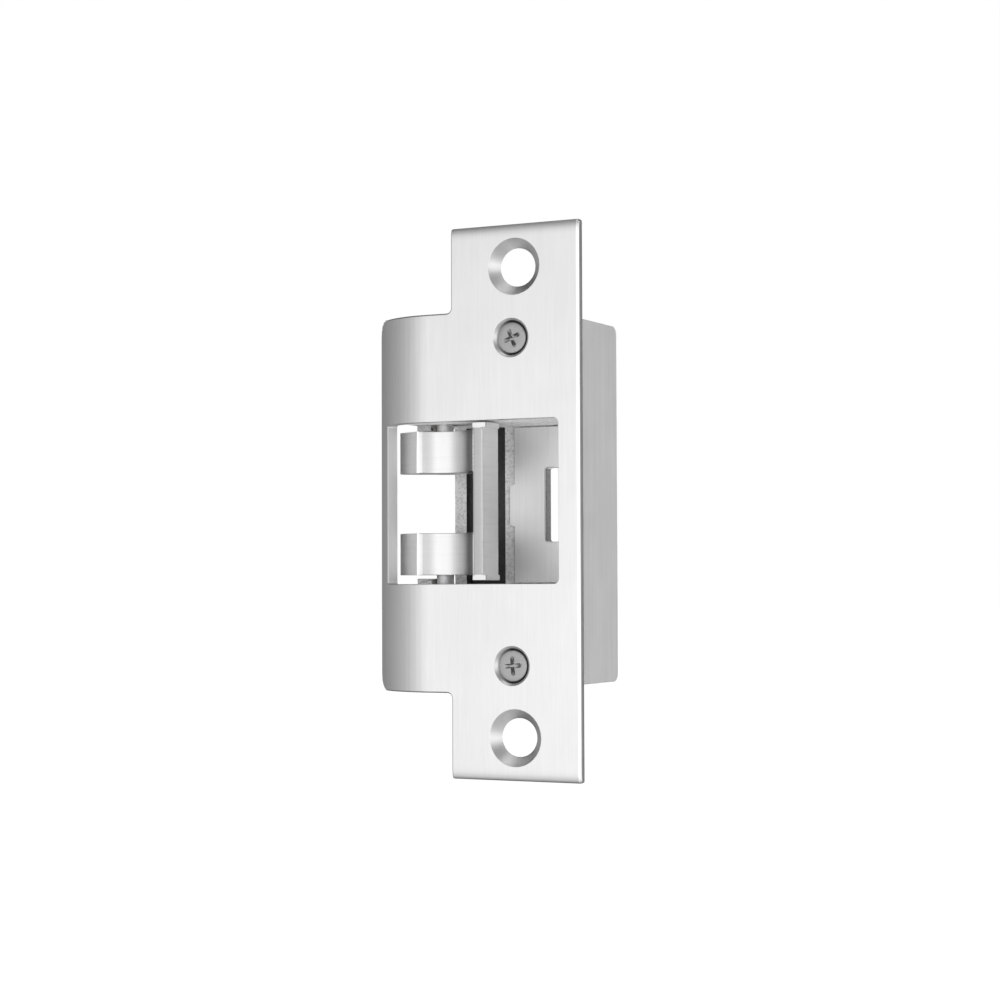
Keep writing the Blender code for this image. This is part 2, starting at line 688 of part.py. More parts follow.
def build_keeper(surface):
    """The ridge bar, rounded between its two square caps, with the arms and their pivot bores."""
    low = (KEEPER_BAR_LEFT, KEEPER_FRONT)
    high = (KEEPER_BAR_RIGHT, KEEPER_BAR_BACK)
    cap_high = (KEEPER_CAP_RIGHT, KEEPER_CAP_BACK)
    cap_low = KEEPER_BAR_HALF_HEIGHT - KEEPER_CAP_HEIGHT
    reach = cap_low + OVERLAP
    middle = KEEPER_MIDDLE
    outline = rounded_rectangle(low, high, KEEPER_BAR_ROUNDING, 3)
    keeper = prism("keeper", outline, middle - reach, middle + reach, "Z", surface)
    for side, word in ((1, "upper"), (-1, "lower")):
        ends = sorted((middle + side * cap_low, middle + side * KEEPER_BAR_HALF_HEIGHT))
        cap = rounded_rectangle(low, cap_high, KEEPER_CAP_ROUNDING, 1)
        join(keeper, prism(f"{word}_bar_cap", cap, *ends, "Z"))
        ends = sorted((middle + side * ARM_INNER, middle + side * ARM_OUTER))
        join(keeper, prism(f"{word}_arm", arm_outline(), *ends, "Z"))
        bore_ends = sorted((side * (PIVOT_INNER_END - GAP), side * (ARM_OUTER + 1)))
        cut(keeper, rod(f"{word}_arm_bore", (*PIVOT, 0), SHAFT_RADIUS + RUNNING, *bore_ends))
    set_origin(keeper, (*PIVOT, 0))


def build_bush(word, side, surface):
    """A flanged bush, pressed into the bore between the pocket and a compartment."""
    bore = SHAFT_RADIUS + RUNNING
    outer = SHAFT_RADIUS + BUSH_WALL - RUNNING
    flange = outer + BUSH_FLANGE
    start = POCKET_HALF_HEIGHT + BUSH_RECESS
    step = POCKET_HALF_HEIGHT + DIVIDER + BUSH_STAND
    end = step + BUSH_FLANGE_THICK
    section = [(bore, start), (outer, start), (outer, step), (flange, step), (flange, end), (bore, end)]
    profile = [(radius, side * along) for radius, along in section]
    turned(f"{word}_bush", profile, (*PIVOT, 0), "Z", surface, ring=True)


def build_cam(surface):
    """The cam that the lever blocks: a nose with straight flanks that run onto its hub, over a collar."""
    low = LOCK_Z - LOCK_THICK / 2
    high = LOCK_Z + LOCK_THICK / 2
    base = POCKET_HALF_HEIGHT + DIVIDER
    bore = SHAFT_RADIUS + RUNNING
    half = math.degrees(CAM_NOSE_HALF_ANGLE)
    spread = half + math.degrees(math.acos(CAM_HUB / CAM_NOSE))
    outline = arc(PIVOT, CAM_NOSE, -half, half, 4) + arc(PIVOT, CAM_HUB, spread, 360 - spread, 20)
    cam = prism("keeper_cam", outline, low, high, "Z", surface)
    join(cam, rod("cam_collar", (*PIVOT, 0), CAM_COLLAR, base + 4 * GAP, low + OVERLAP))
    cut(cam, rod("cam_bore", (*PIVOT, 0), bore, base, high + 1))
    return cam


def build_spring_collar(surface):
    """A collar on the lower pivot, with an ear that carries the peg for the keeper's spring."""
    peg = (PIVOT[0] + COLLAR_PEG[0], PIVOT[1] + COLLAR_PEG[1])
    lean = math.degrees(math.atan2(COLLAR_PEG[1], COLLAR_PEG[0]))
    outline = arc(PIVOT, COLLAR_RADIUS, lean + 50, lean + 310, 20)
    outline += arc(peg, COLLAR_EAR, lean - 90, lean + 90, 6)
    collar = prism("spring_collar", outline, COLLAR_LOW, COLLAR_HIGH, "Z", surface)
    bore = SHAFT_RADIUS + RUNNING
    cut(collar, rod("collar_bore", (*PIVOT, 0), bore, COLLAR_LOW - 1, COLLAR_HIGH + 1))
    peg_bottom = COLLAR_LOW + PEG_RADIUS + GAP
    join(collar, rod("collar_peg", (*peg, 0), PEG_RADIUS, peg_bottom, COLLAR_PEG_TOP, steps=PEG_ROUND))
    return collar


def build_pivots(steel, bronze, zinc):
    cam_high = LOCK_Z + LOCK_THICK / 2
    shaft_top = cam_high + SHAFT_OVER_CAM
    centre = (*PIVOT, 0)
    shaft = rod("upper_keeper_shaft", centre, SHAFT_RADIUS, PIVOT_INNER_END, shaft_top, surface=steel)
    pin = rod("lower_pivot_pin", centre, SHAFT_RADIUS, -PIVOT_PIN_BOTTOM, -PIVOT_INNER_END, surface=steel)
    build_bush("upper", 1, bronze)
    build_bush("lower", -1, bronze)
    bore = SHAFT_RADIUS + RUNNING
    shaft_clip = clip("shaft_clip", PIVOT, bore, cam_high + GAP, steel)
    pin_clip = clip("pin_clip", PIVOT, bore, COLLAR_LOW - GAP - CLIP_THICK, steel)
    for moving in (shaft, pin, build_cam(steel), build_spring_collar(zinc), shaft_clip, pin_clip):
        set_origin(moving, centre)


def build_springs(surface):
    torsion_spring("keeper_spring", PIVOT, *KEEPER_SPRING, surface)
    torsion_spring("lever_spring", LEVER_PIVOT, *LEVER_SPRING, surface)


def build_lever(steel):
    """The lever: its hub, the end that the plunger turns, and the hook that goes under the cam's nose."""
    x, y = LEVER_PIVOT
    low = LOCK_Z - LOCK_THICK / 2
    high = LOCK_Z + LOCK_THICK / 2
    link = (x, y + LEVER_ARM + 0.6)
    hook = [(x + u, y + v) for u, v in LEVER_HOOK]
    outline = arc(link, LEVER_END, 0, 180, 10) + arc(LEVER_PIVOT, LEVER_HUB, 150, 230, 5) + hook
    outline += arc(LEVER_PIVOT, LEVER_HUB, -50, 30, 5)
    lever = prism("locking_lever", outline, low, high, "Z", steel)
    cut(lever, rod("lever_bore", (x, y, 0), LEVER_PIN_RADIUS + RUNNING, low - 1, high + 1))
    slot = LINK_PIN_RADIUS + 0.2
    ends = (y + LEVER_ARM - 0.25, y + LEVER_ARM + 0.8)
    outline = arc((x, ends[1]), slot, 0, 180, 8) + arc((x, ends[0]), slot, 180, 360, 8)
    cut(lever, prism("link_slot", outline, low - 1, high + 1, "Z"))
    peg = (x + LEVER_PEG[0], y + LEVER_PEG[1], 0)
    join(lever, rod("lever_peg", peg, PEG_RADIUS, low - LEVER_PEG_LENGTH, low + OVERLAP, steps=PEG_ROUND))
    set_origin(lever, (x, y, 0))

    base = POCKET_HALF_HEIGHT + DIVIDER + 0.1
    pin_top = high + LEVER_PIN_STANDOUT
    rod("lever_pin", (x, y, 0), LEVER_PIN_RADIUS, base, pin_top, surface=steel, steps=SMALL_ROUND)
    clip("lever_clip", LEVER_PIVOT, LEVER_PIN_RADIUS + RUNNING, high + 0.5, steel)


def build_solenoid_frame(steel, screw_surface):
    left, right = SOLENOID_LEFT, SOLENOID_RIGHT
    y, z = SOLENOID_Y, LOCK_Z
    depth = FRAME_HALF_DEPTH
    frame = box("solenoid_frame", (left, y - depth, FRAME_BOTTOM), (right, y + depth, FRAME_TOP), steel)
    low = (left + FRAME_THICK, y - depth - 1, FRAME_BOTTOM - 1)
    cut(frame, box("frame_hollow", low, (right - FRAME_THICK, y + depth + 1, FRAME_TOP - FRAME_THICK)))
    cut(frame, rod("plunger_hole", (0, y, z), PLUNGER_RADIUS + 0.1, left - 1, left + FRAME_THICK + 1, "X"))
    start = right - FRAME_THICK - 1
    cut(frame, rod("core_hole", (0, y, z), CORE_STEM + 0.1, start, right + 1, "X", steps=SMALL_ROUND))
    clear = SOLENOID_SCREW_SHANK + 0.15
    for hand, x in SOLENOID_SCREWS.items():
        hole = rod(f"frame_hole_{hand}", (x, y, 0), clear, FRAME_TOP - 3, FRAME_TOP + 1, steps=SMALL_ROUND)
        cut(frame, hole)
        place = (x, y, CASE_HALF_HEIGHT - 0.1)
        sizes = (SOLENOID_SCREW_HEAD, SOLENOID_SCREW_SHANK, SOLENOID_SCREW_LENGTH)
        sunk_screw(f"solenoid_screw_{hand}", place, -1, "Z", *sizes, screw_surface)


def build_coil(steel, winding, nylon):
    """The bobbin, the winding on it and the fixed core behind the plunger."""
    axis = (0, SOLENOID_Y, LOCK_Z)
    left = SOLENOID_LEFT + FRAME_THICK + BOBBIN_GAP
    right = SOLENOID_RIGHT - FRAME_THICK - BOBBIN_GAP
    bore = PLUNGER_RADIUS + 0.1
    barrel = bore + BOBBIN_TUBE
    profile = [
        (bore, left),
        (BOBBIN_FLANGE, left),
        (BOBBIN_FLANGE, left + BOBBIN_WALL),
        (barrel, left + BOBBIN_WALL),
        (barrel, right - BOBBIN_WALL),
        (BOBBIN_FLANGE, right - BOBBIN_WALL),
        (BOBBIN_FLANGE, right),
        (bore, right),
    ]
    turned("bobbin", profile, axis, "X", nylon, ring=True)
    start = left + BOBBIN_WALL + BOBBIN_GAP
    end = right - BOBBIN_WALL - BOBBIN_GAP
    inner = barrel + 0.1
    outer = BOBBIN_FLANGE - COIL_INSET
    profile = [(inner, start), (outer, start), (outer, end), (inner, end)]
    turned("coil", profile, axis, "X", winding, ring=True)
    stem_end = SOLENOID_RIGHT + CORE_STANDOUT
    profile = [
        (0, PLUNGER_SEAT),
        (PLUNGER_RADIUS, PLUNGER_SEAT),
        (PLUNGER_RADIUS, right),
        (CORE_STEM, right),
        (CORE_STEM, stem_end),
        (0, stem_end),
    ]
    turned("core", profile, axis, "X", steel, SMALL_ROUND)


def build_plunger(steel):
    """The plunger, whose forked end takes the lever and the link pin."""
    x, y, z = LEVER_PIVOT[0], SOLENOID_Y, LOCK_Z
    tip = PLUNGER_SEAT - PLUNGER_STROKE - GAP
    plunger = rod("plunger", (0, y, z), PLUNGER_RADIUS, x - PLUNGER_NOSE, tip, "X", steel)
    fork = LOCK_THICK / 2 + 0.2
    wide = PLUNGER_RADIUS + 1
    low = (x - PLUNGER_NOSE - 1, y - wide, z - fork)
    cut(plunger, box("fork_slot", low, (x + LEVER_END + 1, y + wide, z + fork)))
    clear = LINK_PIN_RADIUS + 0.05
    cut(plunger, rod("link_hole", (x, y, 0), clear, z - wide - 1, z + wide + 1, steps=SMALL_ROUND))
    ends = (z - LINK_PIN_HALF_LENGTH, z + LINK_PIN_HALF_LENGTH)
    pin = rod("link_pin", (x, y, 0), LINK_PIN_RADIUS, *ends, surface=steel, steps=SMALL_ROUND)
    for moving in (plunger, pin):
        set_origin(moving, (x, y, z))


def build_socket(nylon, brass, lead_colours):
    """The two-way socket in the top wall, its contacts and the leads that run from them to the coil."""
    socket = box("connector_housing", SOCKET_LOW, SOCKET_HIGH, nylon)
    wall = SOCKET_WALL
    floor = SOCKET_HIGH[2] - SOCKET_DEPTH
    low = (SOCKET_LOW[0] + wall, SOCKET_LOW[1] + wall, floor)
    high = (SOCKET_HIGH[0] - wall, SOCKET_HIGH[1] - wall, SOCKET_HIGH[2] + 1)
    cut(socket, box("socket_hollow", low, high))
    top = SOCKET_HIGH[2] - CONTACT_RECESS
    bottom = SOCKET_LOW[2] - CONTACT_STANDOUT
    clear = CONTACT_RADIUS + 0.1
    for word, x in CONTACTS.items():
        centre = (x, CONTACT_Y, 0)
        hole = rod(f"contact_hole_{word}", centre, clear, SOCKET_LOW[2] - 1, floor + 1, steps=PEG_ROUND)
        cut(socket, hole)
        rod(f"contact_{word}", centre, CONTACT_RADIUS, bottom, top, surface=brass, steps=PEG_ROUND)
        start = (x, CONTACT_Y, bottom - GAP)
        route = [start] + [tuple(a + b for a, b in zip(start, step)) for step in LEAD_STEPS]
        tube(f"coil_lead_{word}", smooth_route(route, 5), LEAD_RADIUS, lead_colours[word], 2)


def main():
    clear_scene()
    stainless = material("brushed_stainless", (0.62, 0.62, 0.62), 0.32)
    shell = material("case_metal", (0.5, 0.5, 0.5), 0.4)
    steel = material("bright_steel", (0.6, 0.6, 0.6), 0.25)
    zinc = material("zinc_plate", (0.55, 0.56, 0.58), 0.35)
    bronze = material("sintered_bronze", (0.5, 0.34, 0.18), 0.45)
    spring_wire = material("spring_wire", (0.4, 0.4, 0.42), 0.3)
    winding = material("enamelled_copper", (0.55, 0.24, 0.1), 0.35)
    nylon = material("black_nylon", (0.03, 0.03, 0.03), 0.5, 0.0)
    brass = material("brass", (0.7, 0.52, 0.22), 0.3)
    leads = {
        "a": material("red_lead", (0.5, 0.03, 0.02), 0.45, 0.0),
        "b": material("black_lead", (0.02, 0.02, 0.02), 0.45, 0.0),
    }
    build_faceplate(stainless)
    build_case(shell)
    build_liner(stainless)
    build_covers(shell, zinc)
    build_faceplate_screws(zinc)
    build_keeper(stainless)
    build_pivots(steel, bronze, zinc)
    build_springs(spring_wire)
    build_lever(steel)
    build_solenoid_frame(steel, zinc)
    build_coil(steel, winding, nylon)
    build_plunger(steel)
    build_socket(nylon, brass, leads)

    bpy.context.view_layer.update()
    tools = [obj for obj in bpy.data.objects if obj.hide_render]
    for obj in bpy.data.objects:
        if obj.modifiers:
            settle(obj)
    for tool in tools:
        bpy.data.objects.remove(tool, do_unlink=True)


main()
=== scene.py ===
"""Looks of the electric door strike: finished pieces, materials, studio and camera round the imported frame.

Lengths are millimetres until a mesh is made. X runs across the plate (the lip is at -X), Y runs into the
jamb and Z is up, as in the CAD.
"""

import json
import math

import bmesh
import bpy
from mathutils import Matrix, Vector


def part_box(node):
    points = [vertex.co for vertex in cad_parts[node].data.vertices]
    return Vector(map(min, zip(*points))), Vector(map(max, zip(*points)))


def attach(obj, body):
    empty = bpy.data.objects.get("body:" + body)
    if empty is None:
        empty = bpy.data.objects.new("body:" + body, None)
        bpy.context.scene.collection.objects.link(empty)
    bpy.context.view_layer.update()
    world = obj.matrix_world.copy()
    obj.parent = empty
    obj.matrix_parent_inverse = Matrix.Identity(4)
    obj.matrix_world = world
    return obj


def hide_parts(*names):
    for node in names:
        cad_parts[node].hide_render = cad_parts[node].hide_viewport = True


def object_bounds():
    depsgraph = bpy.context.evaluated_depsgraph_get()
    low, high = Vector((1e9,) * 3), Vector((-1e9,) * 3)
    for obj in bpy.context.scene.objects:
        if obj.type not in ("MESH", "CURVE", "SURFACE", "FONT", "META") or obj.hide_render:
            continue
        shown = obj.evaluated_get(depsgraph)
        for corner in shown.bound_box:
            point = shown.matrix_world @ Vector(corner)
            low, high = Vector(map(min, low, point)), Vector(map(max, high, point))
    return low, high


MM = 0.001
WELD = 2e-6
LIP_AXIS = (-22.1, 20.0)
LIP_RADII = (20.0, 17.6)

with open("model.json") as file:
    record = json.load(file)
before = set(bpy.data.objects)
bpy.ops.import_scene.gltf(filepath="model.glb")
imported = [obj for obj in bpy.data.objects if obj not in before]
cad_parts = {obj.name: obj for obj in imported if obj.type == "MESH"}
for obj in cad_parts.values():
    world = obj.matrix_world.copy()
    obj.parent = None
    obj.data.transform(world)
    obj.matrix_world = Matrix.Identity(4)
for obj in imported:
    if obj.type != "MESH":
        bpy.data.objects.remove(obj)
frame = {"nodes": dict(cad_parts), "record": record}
cad_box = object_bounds()


# ---------------------------------------------------------------- materials


def node(tree, kind, inputs=(), **settings):
    """Adds a shader node, links or sets its inputs, and returns its outputs."""
    made = tree.nodes.new(f"ShaderNode{kind}")
    for key, value in settings.items():
        setattr(made, key, value)
    for key, value in dict(inputs).items():
        socket = made.inputs[key]
        if isinstance(value, bpy.types.NodeSocket):
            tree.links.new(value, socket)
        else:
            socket.default_value = value
    return made.outputs


def calc(tree, operation, a, b=0.0, c=0.0):
    return node(tree, "Math", {0: a, 1: b, 2: c}, operation=operation)[0]


def spread(tree, value, low, high, start=0.25, end=0.75):
    """Maps a noise value from start..end to low..high."""
    inputs = {"Value": value, "From Min": start, "From Max": end, "To Min": low, "To Max": high}
    return node(tree, "MapRange", inputs)[0]


def noise(tree, vector, scale, detail=2.0, rough=0.5):
    inputs = {"Vector": vector, "Scale": scale, "Detail": detail, "Roughness": rough}
    return node(tree, "TexNoise", inputs)[0]


def stretched(tree, vector, scale):
    return node(tree, "Mapping", {"Vector": vector, "Scale": scale})[0]


def pick(tree, mask, a, b):
    """a where the mask is 0, b where it is 1."""
    return node(tree, "Mix", {0: mask, 2: a, 3: b})[0]


def new_material(name, **sockets):
    made = bpy.data.materials.new(name)
    made.use_nodes = True
    tree = made.node_tree
    shader = tree.nodes["Principled BSDF"]
    for key, value in sockets.items():
        shader.inputs[key.replace("_", " ")].default_value = value
    return made, tree, shader


def finish_shader(tree, shader, colour, tone, roughness, heights):
    """Wires colour * tone, the roughness, and one bump for each (height, strength, distance)."""
    inputs = {0: colour, "Scale": tone}
    tinted = node(tree, "VectorMath", inputs, operation="SCALE")[0]
    tree.links.new(tinted, shader.inputs["Base Color"])
    tree.links.new(roughness, shader.inputs["Roughness"])
    normal = None
    for height, strength, distance in heights:
        inputs = {"Height": height, "Strength": strength, "Distance": distance * MM}
        if normal:
            inputs["Normal"] = normal
        normal = node(tree, "Bump", inputs)[0]
    tree.links.new(normal, shader.inputs["Normal"])


def edge_mask(tree, radius):
    """1 on edges that are rounded within the radius, 0 on flat faces."""
    rounded = node(tree, "Bevel", {"Radius": radius * MM}, samples=4)[0]
    flat = node(tree, "NewGeometry")["Normal"]
    match = node(tree, "VectorMath", {0: rounded, 1: flat}, operation="DOT_PRODUCT")["Value"]
    return spread(tree, match, 1.0, 0.0, 0.8, 0.99)


def grain_coordinates(tree, lengthwise, across_top):
    """Object coordinates squeezed along the brushing, which turns on faces that look up or down."""
    place = node(tree, "TexCoord")
    along = stretched(tree, place["Object"], lengthwise)
    if across_top is None:
        return place, along
    flat_top = stretched(tree, place["Object"], across_top)
    facing = node(tree, "SeparateXYZ", {0: place["Normal"]})["Z"]
    facing = calc(tree, "GREATER_THAN", calc(tree, "ABSOLUTE", facing), 0.75)
    mixed = node(tree, "Mix", {0: facing, 4: along, 5: flat_top}, data_type="VECTOR")[1]
    return place, mixed


def box_mask(tree, vector, low, high):
    """1 inside a box of object coordinates, in millimetres, 0 outside."""
    parts = node(tree, "SeparateXYZ", {0: vector})
    mask = None
    for axis, start, end in zip("XYZ", low, high):
        for operation, limit in (("GREATER_THAN", start), ("LESS_THAN", end)):
            side = calc(tree, operation, parts[axis], limit * MM)
            mask = side if mask is None else calc(tree, "MULTIPLY", mask, side)
    return mask


def brushed_metal(
    name, colour, roughness, lengthwise, across_top=None, tone=0.03, depth=0.5, edge_wear_and_highlight=0.1, spots=None
):
    """Fine hairlines along one direction, with brighter rounded edges that are partly worn and partly a painted
    highlight. spots makes (mask, share of the tone, added roughness) triples, and most of them paint light or
    shade into the tone.
    """
    made, tree, shader = new_material(name, Metallic=1.0)
    place, grain = grain_coordinates(tree, lengthwise, across_top)
    hairs = noise(tree, grain, 5200, 3.0, 0.65)
    bands = noise(tree, grain, 1500, 3.0, 0.6)
    cloud = noise(tree, place["Object"], 55, 3.0, 0.55)
    edges = edge_mask(tree, 0.22)
    shade = calc(tree, "ADD", spread(tree, hairs, -tone, tone), spread(tree, bands, -tone, tone))
    shade = calc(tree, "ADD", shade, spread(tree, cloud, -0.015, 0.015))
    # Brighter rounded edges: partly worn, partly a painted highlight.
    shade = calc(tree, "ADD", calc(tree, "ADD", shade, 1.0), calc(tree, "MULTIPLY", edges, edge_wear_and_highlight))
    rough = calc(tree, "ADD", spread(tree, hairs, -0.05, 0.05), spread(tree, cloud, -0.03, 0.03))
    rough = calc(tree, "ADD", calc(tree, "ADD", rough, roughness), calc(tree, "MULTIPLY", edges, -0.06))
    for mask, share, rougher in spots(tree, place) if spots else ():
        shade = calc(tree, "MULTIPLY", shade, pick(tree, mask, 1.0, share))
        rough = calc(tree, "ADD", rough, calc(tree, "MULTIPLY", mask, rougher))
    finish_shader(tree, shader, colour, shade, rough, [(hairs, depth, 0.012), (bands, depth * 0.6, 0.02)])
    return made


def plate_rim_and_painted_light(tree, place):
    """The punched edge of the window in the lip, made rougher; painted shade in the ring round each case screw
    head, except where its wall faces +X; and a painted highlight along the plate's right front edge.
    """
    where = place["Object"]
    facing = calc(tree, "GREATER_THAN", node(tree, "SeparateXYZ", {0: place["Normal"]})["X"], 0.5)
    rim = box_mask(tree, where, (-40, -1, -17.75), (-25, 20, 17.75))
    parts = node(tree, "SeparateXYZ", {0: where})
    aside = calc(tree, "ADD", parts["X"], 0.8 * MM)
    above = calc(tree, "SUBTRACT", calc(tree, "ABSOLUTE", parts["Z"]), 36.5 * MM)
    square = calc(tree, "ADD", calc(tree, "POWER", aside, 2.0), calc(tree, "POWER", above, 2.0))
    near = calc(tree, "LESS_THAN", calc(tree, "SQRT", square), 3.95 * MM)
    # Painted shade: the ring between each screw head and its countersink is darkened, standing in for the shade
    # down in it.
    screw_gap_painted_shade = calc(tree, "MULTIPLY", near, spread(tree, parts["Y"], 0.0, 1.0, 0.25 * MM, 0.5 * MM))
    away_side = spread(tree, node(tree, "SeparateXYZ", {0: place["Normal"]})["X"], 1.0, 0.0, 0.1, 0.75)
    # Painted highlight: a bright line along the plate's right front edge.
    corner = box_mask(tree, where, (15.3, -1, -62), (16, 0.4, 62))
    return [
        (calc(tree, "MULTIPLY", rim, facing), 1.0, 0.25),
        (calc(tree, "MULTIPLY", screw_gap_painted_shade, away_side), 0.1, 0.2),
        (corner, 1.36, 0.0),
    ]


def keeper_painted_light(tree, place):
    """Painted shade on the ridge bar's front and painted light on its right side, painted highlights along the
    bar's left edge and on each arm's crest, painted light on each arm's tail, and painted shade in each arm's
    hollow next to the bar; most also change the roughness.
    """
    where = place["Object"]
    across = node(tree, "SeparateXYZ", {0: where})["X"]
    arms = box_mask(tree, where, (-28, 2, -17), (-11.02, 9.3, 17.5))
    # Painted shade on the side of each arm's hollow next to the bar, deepening towards the bar.
    flank_painted_shade = calc(tree, "MULTIPLY", arms, spread(tree, across, 0.0, 1.0, -18.6 * MM, -14.4 * MM))
    # In order: painted shade on the bar's front, painted light on its right side, a painted highlight on each
    # crest, painted light on each tail where the lip shades it, the painted shade in the hollows, and painted
    # highlights along the bar's left edge.
    return [
        (box_mask(tree, where, (-10.5, 0.5, -16.25), (-8.65, 1.1, 16.75)), 0.68, 0.1),
        (box_mask(tree, where, (-8.9, 1.3, -17.6), (-7.4, 9.4, 18.1)), 1.3, 0.25),
        (box_mask(tree, where, (-27.7, 4, -17), (-26.7, 6.5, 17.5)), 1.36, 0.0),
        (box_mask(tree, where, (-35, 4, -17), (-27.7, 10, 17.5)), 1.25, 0.24),
        (flank_painted_shade, 0.1, 0.05),
        (box_mask(tree, where, (-11.2, 0.4, 7.2), (-10.6, 1.9, 16.2)), 1.36, -0.05),
        (box_mask(tree, where, (-11.2, 0.4, -16.2), (-10.6, 1.9, -7.2)), 1.36, -0.05),
    ]


def liner_edge_painted_shade(tree, place):
    """Painted shade along the sheared left edge of the liner and of the tab on it, darker than its face."""
    where = place["Object"]
    spots = []
    for left, low, high in ((-11.4, 4.95, 19), (-11.4, -19, -4.95), (-12.6, -4.95, 4.95)):
        # Painted shade: a dark strip along each left edge.
        spots.append((box_mask(tree, where, (left - 0.1, 22, low), (left + 0.16, 24, high)), 0.3, 0.1))
    return spots


def case_material():
    """Brushed outside, as cast inside the bolt pocket and lightened there as painted light, with painted shade
    in the recess behind the keeper and on the wall of the cut at the back of the pocket.
    """
    made, tree, shader = new_material("case_metal_finish", Metallic=1.0)
    place, grain = grain_coordinates(tree, (1, 1, 0.012), (0.012, 1, 1))
    where = place["Object"]
    hairs = noise(tree, grain, 4200, 3.0, 0.65)
    bands = noise(tree, grain, 900, 2.0, 0.5)
    speckle = noise(tree, where, 2300, 4.0, 0.7)
    pits = noise(tree, where, 900, 3.0, 0.6)
    cloud = noise(tree, where, 70, 3.0, 0.55)
    pocket = box_mask(tree, where, (-30.4, 3.2, -18.45), (11.6, 26.3, 18.45))
    hollow = box_mask(tree, where, (-28.9, 4.0, -39.5), (11.7, 26.2, 39.5))
    cast = calc(tree, "MAXIMUM", pocket, hollow)
    relief_painted_shade = box_mask(tree, where, (-24.6, 24.15, -18.45), (-14.1, 26.0, 18.45))
    edges = edge_mask(tree, 0.25)
    brushed = calc(tree, "ADD", spread(tree, hairs, -0.05, 0.05), spread(tree, bands, -0.035, 0.035))
    rough_cast = calc(tree, "ADD", spread(tree, speckle, -0.4, 0.32), spread(tree, pits, -0.2, 0.16))
    shade = calc(tree, "ADD", pick(tree, cast, brushed, rough_cast), spread(tree, cloud, -0.03, 0.03))
    shade = calc(tree, "ADD", calc(tree, "ADD", shade, 1.0), calc(tree, "MULTIPLY", edges, 0.14))
    # Painted shade: the recess behind the keeper is made nearly black, as if in the keeper's shadow.
    shade = calc(tree, "MULTIPLY", shade, pick(tree, relief_painted_shade, 1.0, 0.06))
    # Painted shade on the wall of the cut at the back of the pocket.
    slot_painted_shade = box_mask(tree, where, (-3.7, 23.0, -8.4), (-3.0, 26.5, 8.4))
    shade = calc(tree, "MULTIPLY", shade, pick(tree, slot_painted_shade, 1.0, 0.36))
    # Painted light: all the cast surfaces are lightened to make up for the light that the pocket lacks.
    shade = calc(tree, "MULTIPLY", shade, pick(tree, cast, 1.0, 1.14))
    tree.links.new(pick(tree, cast, 1.0, 0.0), shader.inputs["Metallic"])
    rough = pick(tree, cast, spread(tree, hairs, 0.58, 0.68), spread(tree, speckle, 0.6, 0.85))
    relief_depth = pick(tree, cast, 0.0, 1.0)
    grit = calc(tree, "MULTIPLY", calc(tree, "ADD", speckle, pits), relief_depth)
    fine = calc(tree, "MULTIPLY", hairs, calc(tree, "SUBTRACT", 1.0, cast))
    heights = [(fine, 0.45, 0.014), (grit, 0.8, 0.09)]
    finish_shader(tree, shader, (0.86, 0.86, 0.86), shade, rough, heights)
    return made


def plain_metal(name, colour, roughness, grit, scale, depth, edge_wear_and_highlight=0.12):
    """Plated, ground or sintered metal: fine grit, a soft cloudiness and brighter edges, which are partly worn
    and partly a painted highlight.
    """
    made, tree, shader = new_material(name, Metallic=1.0)
    place = node(tree, "TexCoord")
    where = place["Object"]
    grains = noise(tree, where, scale, 3.0, 0.6)
    cloud = noise(tree, where, 160, 3.0, 0.55)
    edges = edge_mask(tree, 0.15)
    shade = calc(tree, "ADD", spread(tree, grains, -grit, grit), spread(tree, cloud, -0.05, 0.05))
    # Brighter rounded edges: partly worn, partly a painted highlight.
    shade = calc(tree, "ADD", calc(tree, "ADD", shade, 1.0), calc(tree, "MULTIPLY", edges, edge_wear_and_highlight))
    rough = calc(tree, "ADD", spread(tree, grains, -0.07, 0.07), spread(tree, cloud, -0.05, 0.05))
    rough = calc(tree, "ADD", rough, roughness)
    finish_shader(tree, shader, colour, shade, rough, [(grains, depth, 0.02), (cloud, 0.12, 0.05)])
    return made


def plastic(name, colour, roughness, scale, depth, specular=0.5):
    """Moulded plastic or cable insulation, with a fine skin and rubbed, lighter edges."""
    made, tree, shader = new_material(name, Metallic=0.0)
    shader.inputs["Specular IOR Level"].default_value = specular
    place = node(tree, "TexCoord")
    skin = noise(tree, place["Object"], scale, 3.0, 0.6)
    cloud = noise(tree, place["Object"], 220, 2.0, 0.5)
    edges = edge_mask(tree, 0.15)
    shade = calc(tree, "ADD", spread(tree, cloud, 0.88, 1.12), calc(tree, "MULTIPLY", edges, 0.5))
    rough = calc(tree, "ADD", spread(tree, skin, -0.08, 0.08), roughness)
    finish_shader(tree, shader, colour, shade, rough, [(skin, depth, 0.015)])
    return made


